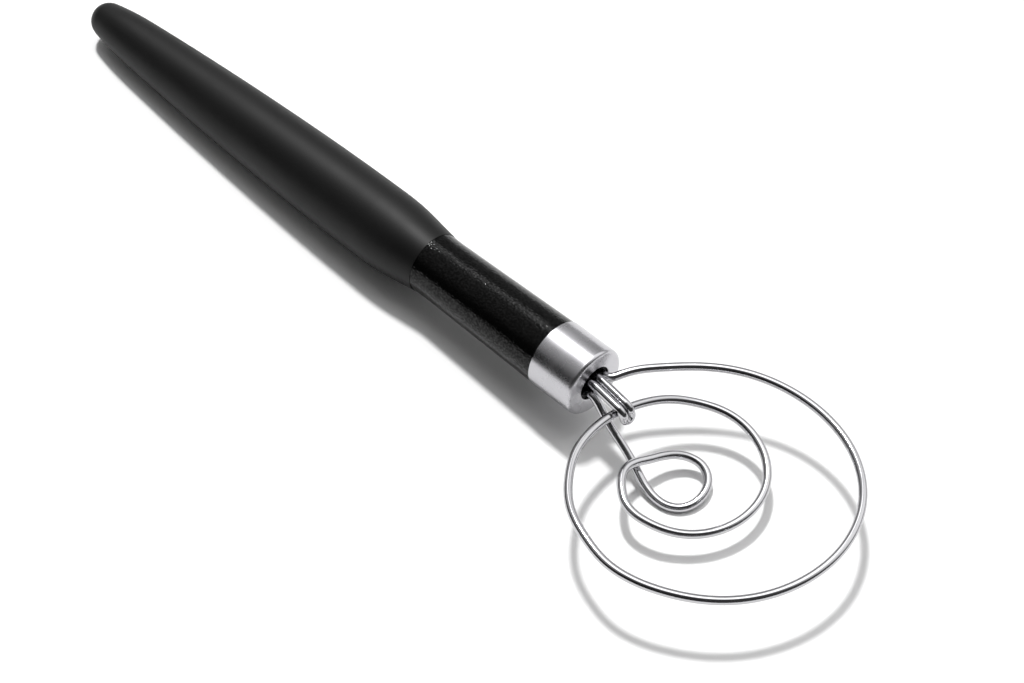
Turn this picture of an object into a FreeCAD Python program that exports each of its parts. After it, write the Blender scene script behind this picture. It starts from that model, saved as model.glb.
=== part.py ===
import FreeCAD, Part
import math
import os
import Sketcher
from FreeCAD import Rotation, Vector

# A dough whisk: a turned handle with a moulded grip and a metal ferrule, and a head of two bent wires.
# It lies on a flat surface. The handle's butt points to -X, the wire head to +X, and Z is up.
# The origin is the centre of the footprint, on the surface.
# The handle's own sizes are distances behind the ferrule's front face and radii about its axis.

SIZES = {
    # How the handle lies, in degrees and millimetres.
    "handle_tilt": 2.35,
    "face_x": 72.3,
    "axis_y": 2.4,
    "axis_height": 18.0,
    # The ferrule, a drawn metal cap.
    "ferrule_radius": 11.5,
    "ferrule_length": 17.0,
    "ferrule_nose": 1.3,
    "ferrule_face_radius": 10.2,
    "ferrule_end_wall": 1.9,
    "ferrule_hole_radius": 5.9,
    "ferrule_mouth_radius": 6.2,
    "ferrule_mouth_depth": 0.3,
    # The turned wooden core.
    "spigot_radius": 10.7,
    "neck_front_radius": 11.28,
    "waist_distance": 65.0,
    "waist_radius": 10.36,
    "waist_arc": 65.8,
    "neck_end_radius": 10.48,
    "core_shoulder_radius": 8.6,
    "core_crest_distance": 105.0,
    "core_crest_radius": 10.4,
    "core_end_distance": 226.0,
    "core_end_radius": 5.2,
    "core_tip_distance": 228.0,
    "core_tip_radius": 3.4,
    "bore_radius": 5.35,
    "bore_depth": 30.0,
    # The moulded grip.
    "grip_front_distance": 70.4,
    "grip_front_radius": 10.6,
    "shoulder_distance": 80.0,
    "shoulder_radius": 11.92,
    "shoulder_arc": 93.5,
    "crest_front_distance": 93.5,
    "crest_back_distance": 99.5,
    "crest_radius": 12.9,
    "crest_arc": 1278.0,
    "middle_distance": 143.0,
    "middle_radius": 12.16,
    "taper_arc": 1961.0,
    "taper_distance": 216.5,
    "taper_radius": 8.45,
    "butt_arc": 141.0,
    "butt_distance": 233.1,
    "butt_radius": 6.31,
    "tip_arc": 6.42,
    "tip_distance": 238.32,
    # The wires and the resin that holds their legs in the bore.
    "wire_radius": 1.4,
    "leg_end_distance": 27.0,
    "plug_front_distance": 7.0,
}

# Places of the four wire legs in the bore: sideways and upwards from the handle's axis.
LOOP_START_LEG = (3.5, 1.3)
LOOP_END_LEG = (-2.7, -1.7)
HOOK_LEGS = (-0.6, 2.9)
HOOK_HALF_SPACING = 1.45

# The hook's curl around the loop wire: its centre, bend radius, and turn in degrees.
HOOK_CURL = (12.4, -2.0, 18.1)
HOOK_BEND = 3.0
HOOK_TURN = 90
HOOK_STEP = 30

BEND_AHEAD = 0.3        # the loop wire's legs start to bend this far ahead of the ferrule's face
LOOP_STRETCH = 9.0      # the loop wire is bent stretch by stretch, each about this long
CLOSE = 0.01            # ends of two runs nearer than this are one point
FAULTS = ("Invalid", "Error")

document = FreeCAD.newDocument("dough_whisk")
sheet = document.addObject("Spreadsheet::Sheet", "Sizes")
for row, (alias, number) in enumerate(SIZES.items(), start=1):
    sheet.set("A%d" % row, alias)
    sheet.set("B%d" % row, str(number))
    sheet.setAlias("B%d" % row, alias)
document.recompute()


def size(alias):
    return float(sheet.get(alias))


# Turned pieces. Their own X axis runs along the handle, from the ferrule's front face to the butt.

def edge_between(start, end, arc):
    """A line, or an arc of a named radius that bulges away from the X axis (1) or towards it (-1)."""
    if arc is None:
        return Part.LineSegment(start, end)
    radius, side = size(arc[0]), arc[1]
    chord = end - start
    sagitta = radius - math.sqrt(radius ** 2 - (chord.Length / 2) ** 2)
    outwards = Vector(-chord.y, chord.x, 0).normalize()
    if outwards.y < 0:
        outwards = outwards * -1
    return Part.Arc(start, (start + end) / 2 + outwards * sagitta * side, end)


def outline(body, name, stations):
    """A closed outline of (distance, radius, arc to the next station), where None stands for zero."""
    plane = next(item for item in body.Origin.OriginFeatures if item.Role == "XZ_Plane")
    sketch = body.newObject("Sketcher::SketchObject", name)
    sketch.AttachmentSupport = [(plane, "")]
    sketch.MapMode = "FlatFace"
    corners = [Vector(size(d) if d else 0, size(r) if r else 0, 0) for d, r, arc in stations]
    count = len(stations)
    for index, (distance, radius, arc) in enumerate(stations):
        sketch.addGeometry(edge_between(corners[index], corners[(index + 1) % count], arc))

    def end_at(geometry, corner):
        gaps = [(sketch.getPoint(geometry, end) - corner).Length for end in (1, 2)]
        return 1 if gaps[0] < gaps[1] else 2

    bound = []
    for index, (distance, radius, arc) in enumerate(stations):
        here, before = end_at(index, corners[index]), (index - 1) % count
        joint = Sketcher.Constraint("Coincident", before, end_at(before, corners[index]), index, here)
        sketch.addConstraint(joint)
        for kind, alias in (("DistanceX", distance), ("DistanceY", radius)):
            value = size(alias) if alias else 0.0
            bound.append((sketch.addConstraint(Sketcher.Constraint(kind, -1, 1, index, here, value)), alias))
        if arc:
            bound.append((sketch.addConstraint(Sketcher.Constraint("Radius", index, size(arc[0]))), arc[0]))
    for constraint, alias in bound:
        if alias:
            sketch.setExpression("Constraints[%d]" % constraint, "Sizes." + alias)
    return sketch


def turned_body(label, stations):
    body = document.addObject("PartDesign::Body", label)
    body.Label = label
    profile = outline(body, label + "_outline", stations)
    turning = body.newObject("PartDesign::Revolution", label + "_turning")
    turning.Profile = profile
    turning.ReferenceAxis = (profile, ["H_Axis"])
    turning.Angle = 360
    return body


def grip_sleeve():
    """Soft moulding over the wooden core, closed over the butt."""
    return turned_body("grip_sleeve", [
        ("tip_distance", None, ("tip_arc", 1)),
        ("butt_distance", "butt_radius", ("butt_arc", 1)),
        ("taper_distance", "taper_radius", ("taper_arc", 1)),
        ("middle_distance", "middle_radius", ("crest_arc", 1)),
        ("crest_back_distance", "crest_radius", None),
        ("crest_front_distance", "crest_radius", ("shoulder_arc", 1)),
        ("shoulder_distance", "shoulder_radius", None),
        ("grip_front_distance", "grip_front_radius", None),
        ("grip_front_distance", "core_shoulder_radius", None),
        ("core_crest_distance", "core_crest_radius", None),
        ("core_end_distance", "core_end_radius", None),
        ("core_tip_distance", "core_tip_radius", None),
        ("core_tip_distance", None, None),
    ])


def handle_core():
    """Turned dowel: spigot in the ferrule, bare neck, and a tapered tang under the grip."""
    return turned_body("handle_core", [
        ("bore_depth", None, None),
        ("bore_depth", "bore_radius", None),
        ("ferrule_end_wall", "bore_radius", None),
        ("ferrule_end_wall", "spigot_radius", None),
        ("ferrule_length", "spigot_radius", None),
        ("ferrule_length", "neck_front_radius", None),
        ("waist_distance", "waist_radius", ("waist_arc", -1)),
        ("grip_front_distance", "neck_end_radius", None),
        ("grip_front_distance", "core_shoulder_radius", None),
        ("core_crest_distance", "core_crest_radius", None),
        ("core_end_distance", "core_end_radius", None),
        ("core_tip_distance", "core_tip_radius", None),
        ("core_tip_distance", None, None),
    ])


def ferrule():
    """Drawn cap with a rounded nose and a round hole with a flared mouth."""
    return turned_body("ferrule", [
        ("ferrule_mouth_depth", "ferrule_hole_radius", ("ferrule_mouth_depth", -1)),
        (None, "ferrule_mouth_radius", None),
        (None, "ferrule_face_radius", ("ferrule_nose", 1)),
        ("ferrule_nose", "ferrule_radius", None),
        ("ferrule_length", "ferrule_radius", None),
        ("ferrule_length", "spigot_radius", None),
        ("ferrule_end_wall", "spigot_radius", None),
        ("ferrule_end_wall", "ferrule_hole_radius", None),
    ])


def place_on_handle(piece):
    piece.Placement = FreeCAD.Placement(
        Vector(size("face_x"), size("axis_y"), size("axis_height")),
        Rotation(Vector(0, 1, 0), 180 - size("handle_tilt")))


# Bent wires. A path is a chain of straight runs and tangent arcs through the places given for it.

def on_handle(distance, sideways, upwards):
    """A place given by its distance behind the ferrule's face and its offset from the handle's axis."""
    tilt = math.radians(size("handle_tilt"))
    return Vector(
        size("face_x") - distance * math.cos(tilt) - upwards * math.sin(tilt),
        size("axis_y") + sideways,
        size("axis_height") - distance * math.sin(tilt) + upwards * math.cos(tilt))


def in_head(ahead, sideways, height):
    """A place ahead of the ferrule's face and beside the handle's axis, at a height above the surface."""
    return Vector(size("face_x") + ahead, size("axis_y") + sideways, height)


def round_stretch(centre, radii, turned, angles, steps, height, slope, ripple):
    """Places around an oval, clockwise seen from above. It leans by the slope and ripples three times."""
    places = []
    for index in range(steps + 1):
        angle = angles[0] + (angles[1] - angles[0]) * index / steps
        across = math.radians(angle - turned)
        spoke = Vector(radii[0] * math.cos(across), radii[1] * math.sin(across), 0)
        spoke = Rotation(Vector(0, 0, 1), turned).multVec(spoke)
        rise = slope[0] * spoke.x + slope[1] * spoke.y
        rise += ripple[0] * math.cos(math.radians(3 * (angle - ripple[1])))
        places.append(in_head(centre[0] + spoke.x, centre[1] + spoke.y, height + rise))
    return places


def rounding(before, corner, after):
    """The arc that leaves before towards corner and reaches after, both as far from the corner."""
    towards = [(place - corner).normalize() for place in (before, after)]
    half_turn = (math.pi - towards[0].getAngle(towards[1])) / 2
    radius = (before - corner).Length / math.tan(half_turn)
    inwards = (towards[0] + towards[1]).normalize()
    return Part.Arc(before, corner + inwards * radius * (1 / math.cos(half_turn) - 1), after).toShape()


def smooth_bends(places, first_heading, last_heading, spacing):
    """Arcs, each tangent to the next, that follow the smooth curve through the places."""
    curve = Part.BSplineCurve()
    curve.interpolate(Points=places, InitialTangent=first_heading.normalize(),
                      FinalTangent=last_heading.normalize(), Scale=False)
    length = curve.length()
    count = math.ceil(length / spacing)
    marks = [curve.parameterAtDistance(length * index / count) for index in range(count)]
    marks.append(curve.LastParameter)
    arcs = []
    for first, last in zip(marks, marks[1:]):
        start, end = curve.value(first), curve.value(last)
        leaving, arriving = curve.tangent(first)[0], curve.tangent(last)[0]
        # Two arcs join start to end. Their tangents share one length, the root of a quadratic.
        gap = end - start
        across = gap.dot(leaving + arriving)
        square = 2 * (1 - leaving.dot(arriving))
        reach = gap.dot(gap) / (across + math.sqrt(across ** 2 + square * gap.dot(gap)))
        corners = (start + leaving * reach, end - arriving * reach)
        middle = (corners[0] + corners[1]) / 2
        arcs += [rounding(start, corners[0], middle), rounding(middle, corners[1], end)]
    return arcs


def rounded_corners(places):
    """Straight runs through the places, with every corner rounded by the largest arc that fits."""
    edges, last = [], places[0]
    for before, corner, after in zip(places, places[1:], places[2:]):
        runs = (before - corner, after - corner)
        reach = min(run.Length for run in runs) / 2
        start, end = [corner + Vector(run).normalize() * reach for run in runs]
        if (start - last).Length > CLOSE:
            edges.append(Part.LineSegment(last, start).toShape())
        edges.append(rounding(start, corner, end))
        last = end
    edges.append(Part.LineSegment(last, places[-1]).toShape())
    return edges


def swept_wire(label, edges):
    """Round wire along a path: a circle square to the path's start, swept to its end."""
    path = document.addObject("Part::Feature", label + "_path")
    path.Shape = Part.Wire(edges)
    heading = edges[0].tangentAt(edges[0].FirstParameter)
    section = document.addObject("Part::Circle", label + "_section")
    section.setExpression("Radius", "Sizes.wire_radius")
    section.Placement = FreeCAD.Placement(edges[0].Vertexes[0].Point, Rotation(Vector(0, 0, 1), heading))
    sweep = document.addObject("Part::Sweep", label)
    sweep.Label = label
    sweep.Sections = [section]
    sweep.Spine = (path, ["Edge%d" % (index + 1) for index in range(len(edges))])
    sweep.Solid = True
    sweep.Frenet = False
    return sweep


def loop_wire():
    """Outer round, middle round, inner round and the straight stretch back, all one wire."""
    start, end = on_handle(-BEND_AHEAD, *LOOP_START_LEG), on_handle(-BEND_AHEAD, *LOOP_END_LEG)
    places = [start, in_head(4.9, 8.8, 20.0), in_head(10.9, 17.3, 20.2), in_head(18.9, 25.8, 20.2)]
    places += round_stretch(
        centre=(48.5, -2.4), radii=(45.1, 40.5), turned=40, angles=(118, -90), steps=8,
        height=19.1, slope=(-0.041, -0.003), ripple=(0.5, 18))
    places += [
        in_head(37.4, -43.1, 20.2),
        in_head(27.5, -39.0, 20.3),
        in_head(19.5, -31.5, 19.9),
        in_head(14.0, -22.7, 19.2),
        in_head(11.7, -13.1, 18.6),
        in_head(11.9, -3.9, 17.8),
        in_head(14.3, 4.9, 16.9),
        in_head(18.4, 12.6, 15.7)]
    places += round_stretch(
        centre=(37.7, 1.1), radii=(23.8, 21.8), turned=53, angles=(126, -79), steps=8,
        height=11.1, slope=(-0.156, 0.034), ripple=(0.3, 5))
    places += [
        in_head(33.8, -21.4, 10.3),
        in_head(28.6, -18.2, 10.7),
        in_head(25.2, -14.0, 10.6),
        in_head(24.3, -10.0, 9.9),
        in_head(25.6, -5.1, 8.5),
        in_head(27.2, 0.3, 7.0),
        in_head(30.2, 5.2, 5.9),
        in_head(34.5, 8.0, 4.8),
        in_head(39.2, 7.9, 3.8),
        in_head(42.6, 4.9, 2.8),
        in_head(44.0, -0.1, 2.0),
        in_head(42.8, -4.9, 1.5),
        in_head(39.1, -8.1, 1.4),
        in_head(33.8, -9.0, 1.8),
        in_head(28.0, -8.1, 3.4),
        in_head(21.7, -6.1, 5.7),
        in_head(15.0, -4.8, 8.6),
        in_head(8.4, -3.8, 12.2),
        end]
    start_leg = on_handle(size("leg_end_distance"), *LOOP_START_LEG)
    end_leg = on_handle(size("leg_end_distance"), *LOOP_END_LEG)
    edges = [Part.LineSegment(start_leg, start).toShape()]
    edges += smooth_bends(places, start - start_leg, end_leg - end, LOOP_STRETCH)
    edges += [Part.LineSegment(end, end_leg).toShape()]
    return swept_wire("loop_wire", edges)


def hook_wire():
    """A hairpin whose closed end is bent down and back around the loop wire."""
    outside = HOOK_BEND / math.cos(math.radians(HOOK_STEP / 2))
    sides = []
    for side in (-1, 1):
        sideways = side * HOOK_HALF_SPACING
        places = [on_handle(size("leg_end_distance"), HOOK_LEGS[0] + sideways, HOOK_LEGS[1]),
                  on_handle(0, HOOK_LEGS[0] + sideways, HOOK_LEGS[1])]
        for index in range(HOOK_TURN // HOOK_STEP):
            angle = math.radians(90 - index * HOOK_STEP)
            ahead, height = outside * math.cos(angle), outside * math.sin(angle)
            places.append(in_head(HOOK_CURL[0] + ahead, HOOK_CURL[1] + sideways, HOOK_CURL[2] + height))
        last_run = (places[-1] - places[-2]).normalize()
        last_run = Rotation(Vector(0, 1, 0), HOOK_STEP).multVec(last_run)
        places.append(places[-1] + last_run * 2 * HOOK_HALF_SPACING)
        sides.append(places)
    return swept_wire("hook_wire", rounded_corners(sides[0] + sides[1][::-1]))


def resin_plug():
    """Cast resin that fills the bore around the four legs."""
    filling = document.addObject("Part::Cylinder", "resin_filling")
    filling.setExpression("Radius", "Sizes.bore_radius")
    filling.setExpression("Height", "Sizes.bore_depth - Sizes.plug_front_distance")
    along_handle = Rotation(Vector(0, 1, 0), -90 - size("handle_tilt"))
    filling.Placement = FreeCAD.Placement(on_handle(size("plug_front_distance"), 0, 0), along_handle)
    legs = document.addObject("Part::MultiFuse", "legs")
    legs.Shapes = wires
    plug = document.addObject("Part::Cut", "resin_plug")
    plug.Label = "resin_plug"
    plug.Base = filling
    plug.Tool = legs
    return plug


def check_document():
    for item in document.Objects:
        faults = [state for state in item.State if state in FAULTS]
        if faults:
            raise RuntimeError("%s is %s" % (item.Name, faults))


turned = [handle_core(), grip_sleeve(), ferrule()]
document.recompute()
for piece in turned:
    place_on_handle(piece)
lowest = turned[1].Shape.optimalBoundingBox().ZMin
sheet.set("axis_height", str(round(size("axis_height") - lowest, 3)))
document.recompute()
for piece in turned:
    place_on_handle(piece)
wires = [loop_wire(), hook_wire()]
pieces = turned + wires + [resin_plug()]
document.recompute()
check_document()

os.makedirs("parts", exist_ok=True)
for piece in pieces:
    shape = piece.Shape
    if shape.isNull() or not shape.isValid() or len(shape.Solids) != 1:
        raise RuntimeError(piece.Label + " is not one valid solid")
    shape.exportStep("parts/%s.step" % piece.Label)
    box = shape.optimalBoundingBox()
    print(piece.Label, "volume %.1f" % shape.Volume,
          "box %.2f..%.2f %.2f..%.2f %.2f..%.2f" % (box.XMin, box.XMax, box.YMin, box.YMax, box.ZMin, box.ZMax))
for piece in wires:
    expected = math.pi * size("wire_radius") ** 2 * piece.Spine[0].Shape.Length
    if abs(piece.Shape.Volume / expected - 1) > 0.01:
        raise RuntimeError(piece.Label + " has lost volume in its sweep")
print("axis height", size("axis_height"))
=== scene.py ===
import math

import bpy
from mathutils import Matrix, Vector


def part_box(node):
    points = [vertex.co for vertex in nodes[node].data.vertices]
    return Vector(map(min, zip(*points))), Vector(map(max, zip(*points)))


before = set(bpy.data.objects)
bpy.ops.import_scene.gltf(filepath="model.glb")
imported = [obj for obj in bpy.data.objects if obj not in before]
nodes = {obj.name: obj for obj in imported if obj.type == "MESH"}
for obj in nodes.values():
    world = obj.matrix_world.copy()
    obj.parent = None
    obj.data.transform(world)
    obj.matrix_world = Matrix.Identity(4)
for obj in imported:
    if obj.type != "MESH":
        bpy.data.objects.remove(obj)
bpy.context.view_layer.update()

# A dough whisk. The handle's butt points to -X and the wire head to +X.
# The handle is tilted, so its axis rises towards the ferrule.
HANDLE_TILT = math.radians(2.35)

# The camera looks at the whisk from the near right corner, high up.
VIEW_TURN = 45.0
VIEW_RISE = 52.0
LENS = 87.89
SENSOR = 36.0
NEAREST, FARTHEST = 0.01, 20
DISTANCE = 0.75617          # from the camera to the aimed point, along the view
AIM_RIGHT = 0.02293         # how far the aimed point is right of the picture's middle
AIM_UP = -0.01114           # and above it
AIM_BEHIND_FACE = 0.003     # the aimed point is on the handle's axis, behind the ferrule's face
AIM_HEIGHT = 0.01795
FACE_LEAN = 0.0004          # the tilted ferrule's box ends this far ahead of the middle of its face

# The key light. Its direction is a turn from +X towards +Y and a rise above the floor, in degrees.
KEY_TURN = 146.9
KEY_RISE = 64.2
KEY_STRENGTH = 2.8
KEY_WIDTH = 6.0             # seen from the floor, in degrees, for soft shadow edges

# The room: an even light, and patches of light that fade towards their rims. Each patch has a turn
# and a rise, the cosines of the angles from its middle where it ends and where it is full, and the
# light it adds.
ROOM_LIGHT = 0.02
PATCHES = (
    (125, 78, 0.92, 0.99, 2.1),         # a bright ceiling
    (195, 62, 0.65, 1.0, 0.37),         # the rest of the ceiling, towards the butt
    (142, 49, 0.985, 0.9995, 2.4),      # a diffused lamp at the back
    (120, 15, 0.0, 1.0, 0.36),          # the wall at the back
    (70, 45, 0.7, 1.0, 1.2),            # a screen at the back right
    (15, 30, 0.2, 1.0, 0.05))           # the wall on the right

FLOOR_REACH = 6.0
FLOOR_GREY = 0.86


def direction(turn, rise):
    """A unit vector at an angle from +X towards +Y and an angle above the floor, in degrees."""
    a, e = math.radians(turn), math.radians(rise)
    return Vector((math.cos(a) * math.cos(e), math.sin(a) * math.cos(e), math.sin(e)))


# Materials. Each one reads the object's own coordinates, which are the row frame in metres.

class Nodes:
    """A short way to lay out one node tree."""

    def __init__(self, tree):
        self.tree = tree
        self.tree.nodes.clear()

    def add(self, kind, inputs=None, **settings):
        node = self.tree.nodes.new(kind)
        for name, value in settings.items():
            setattr(node, name, value)
        for name, value in (inputs or {}).items():
            if hasattr(value, "is_output"):
                self.tree.links.new(value, node.inputs[name])
            else:
                node.inputs[name].default_value = value
        return node

    def here(self):
        return self.add("ShaderNodeTexCoord").outputs["Object"]

    def along_handle(self, stretch=(1, 1, 1)):
        """Object coordinates turned to the handle's axis, and scaled per axis."""
        turned = self.add("ShaderNodeMapping", {"Vector": self.here(), "Rotation": (0, HANDLE_TILT, 0)})
        return self.add("ShaderNodeMapping", {
            "Vector": turned.outputs[0], "Scale": stretch}).outputs[0]

    def noise(self, vector, scale=1.0, detail=3.0, roughness=0.5):
        return self.add("ShaderNodeTexNoise", {
            "Vector": vector, "Scale": scale, "Detail": detail, "Roughness": roughness}).outputs["Fac"]

    def spread(self, value, low, high, to_low, to_high):
        """value from low..high to to_low..to_high, held at the ends."""
        return self.add("ShaderNodeMapRange", {
            "Value": value, "From Min": low, "From Max": high,
            "To Min": to_low, "To Max": to_high}).outputs[0]

    def bump(self, height, distance, strength=1.0):
        return self.add("ShaderNodeBump", {
            "Height": height, "Distance": distance, "Strength": strength}).outputs[0]

    def finish(self, **inputs):
        named = {name.replace("_", " "): value for name, value in inputs.items()}
        shader = self.add("ShaderNodeBsdfPrincipled", named)
        self.add("ShaderNodeOutputMaterial", {"Surface": shader.outputs[0]})


def material(name):
    made = bpy.data.materials.new(name)
    made.use_nodes = True
    return made, Nodes(made.node_tree)


def soft_grip():
    """Matt black moulding with a very fine texture."""
    made, n = material("soft_grip")
    space = n.along_handle()
    fine = n.noise(space, scale=2600, detail=2)
    cloudy = n.noise(space, scale=60)
    n.finish(
        Base_Color=(0.003, 0.003, 0.003, 1),
        Specular_IOR_Level=0.20,
        Roughness=n.spread(cloudy, 0.3, 0.7, 0.47, 0.53),
        Normal=n.bump(fine, distance=0.00003, strength=0.6))
    return made


def lacquer():
    """Black gloss over open grain, so that its narrow highlight breaks up into specks."""
    made, n = material("lacquer")
    grain = n.noise(n.along_handle((900, 1500, 1500)), detail=2)
    flecks = n.noise(n.along_handle((1500, 1900, 1900)), detail=1)
    patches = n.noise(n.along_handle((120, 260, 260)), detail=2)
    n.finish(
        Base_Color=(0.0012, 0.0012, 0.0012, 1),
        Specular_IOR_Level=n.spread(flecks, 0.40, 0.68, 0.09, 0.30),
        Roughness=n.spread(patches, 0.35, 0.65, 0.06, 0.12),
        Normal=n.bump(grain, distance=0.00009))
    return made


def satin_metal():
    """Ferrule: metal turned on a lathe, with fine lines round it."""
    made, n = material("satin_metal")
    lines = n.noise(n.along_handle((5200, 60, 60)), detail=2)
    cloudy = n.noise(n.along_handle(), scale=130)
    n.finish(
        Base_Color=(0.485, 0.48, 0.50, 1),
        Metallic=1.0,
        Roughness=n.spread(cloudy, 0.3, 0.7, 0.24, 0.30),
        Normal=n.bump(lines, distance=0.000006, strength=0.5))
    return made


def polished_wire():
    """Drawn stainless wire, polished, with a faint uneven surface."""
    made, n = material("polished_wire")
    here = n.here()
    cloudy = n.noise(here, scale=220)
    fine = n.noise(here, scale=1500, detail=2)
    n.finish(
        Base_Color=(0.48, 0.477, 0.492, 1),
        Metallic=1.0,
        Roughness=n.spread(cloudy, 0.3, 0.7, 0.10, 0.15),
        Normal=n.bump(fine, distance=0.000002, strength=0.4))
    return made


def dark_resin():
    """Lumpy potting, deep inside the ferrule's hole."""
    made, n = material("dark_resin")
    lumps = n.noise(n.here(), scale=700)
    n.finish(
        Base_Color=(0.01, 0.01, 0.01, 1),
        Roughness=n.spread(lumps, 0.3, 0.7, 0.5, 0.7),
        Normal=n.bump(lumps, distance=0.0002, strength=0.8))
    return made


def paint(node, finish):
    slots = nodes[node].data.materials
    slots.clear()
    slots.append(finish)


wire_finish = polished_wire()
paint("grip_sleeve", soft_grip())
paint("handle_core", lacquer())
paint("ferrule", satin_metal())
paint("loop_wire", wire_finish)
paint("hook_wire", wire_finish)
paint("resin_plug", dark_resin())


# The floor, the lights and the camera.

def pale_floor():
    mesh = bpy.data.meshes.new("floor")
    corners = [(x * FLOOR_REACH, y * FLOOR_REACH, 0) for x, y in ((-1, -1), (1, -1), (1, 1), (-1, 1))]
    mesh.from_pydata(corners, [], [(0, 1, 2, 3)])
    floor = bpy.data.objects.new("floor", mesh)
    bpy.context.scene.collection.objects.link(floor)
    made, n = material("floor_paper")
    n.finish(
        Base_Color=(FLOOR_GREY, FLOOR_GREY, FLOOR_GREY, 1),
        Roughness=1.0,
        Specular_IOR_Level=0.0)
    mesh.materials.append(made)


def key_light():
    data = bpy.data.lights.new("key", "SUN")
    data.energy = KEY_STRENGTH
    data.angle = math.radians(KEY_WIDTH)
    lamp = bpy.data.objects.new("key", data)
    towards = direction(KEY_TURN, KEY_RISE)
    lamp.location = towards
    lamp.rotation_mode = "QUATERNION"
    lamp.rotation_quaternion = towards.to_track_quat("Z", "Y")
    bpy.context.scene.collection.objects.link(lamp)


def studio_world():
    """A dim room with patches of light on its ceiling and walls."""
    world = bpy.data.worlds.new("studio")
    world.use_nodes = True
    bpy.context.scene.world = world
    n = Nodes(world.node_tree)
    ray = n.add("ShaderNodeTexCoord").outputs["Generated"]
    total = ROOM_LIGHT
    for turn, rise, rim, full, value in PATCHES:
        facing = n.add("ShaderNodeVectorMath", {0: ray, 1: direction(turn, rise)}, operation="DOT_PRODUCT")
        patch = n.add("ShaderNodeMapRange", {
            "Value": facing.outputs["Value"], "From Min": rim, "From Max": full,
            "To Min": 0.0, "To Max": value}, interpolation_type="SMOOTHSTEP").outputs[0]
        total = n.add("ShaderNodeMath", {0: patch, 1: total}, operation="ADD").outputs[0]
    shade = n.add("ShaderNodeBackground", {"Color": (1, 1, 1, 1), "Strength": total})
    n.add("ShaderNodeOutputWorld", {"Surface": shade.outputs[0]})


def camera():
    a, e = math.radians(VIEW_TURN), math.radians(VIEW_RISE)
    right = Vector((math.cos(a), math.sin(a), 0))
    back = Vector((math.sin(a) * math.cos(e), -math.cos(a) * math.cos(e), math.sin(e)))
    up = back.cross(right)
    low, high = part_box("ferrule")
    face = high.x - FACE_LEAN
    aimed = Vector((face - AIM_BEHIND_FACE, (low.y + high.y) / 2, AIM_HEIGHT))
    data = bpy.data.cameras.new("camera")
    data.lens = LENS
    data.sensor_width = SENSOR
    data.clip_start, data.clip_end = NEAREST, FARTHEST
    eye = bpy.data.objects.new("camera", data)
    eye.location = aimed - right * AIM_RIGHT - up * AIM_UP + back * DISTANCE
    eye.rotation_euler = (math.pi / 2 - e, 0, a)
    bpy.context.scene.collection.objects.link(eye)
    bpy.context.scene.camera = eye


pale_floor()
studio_world()
key_light()
camera()
bpy.context.scene.view_settings.view_transform = "Standard"
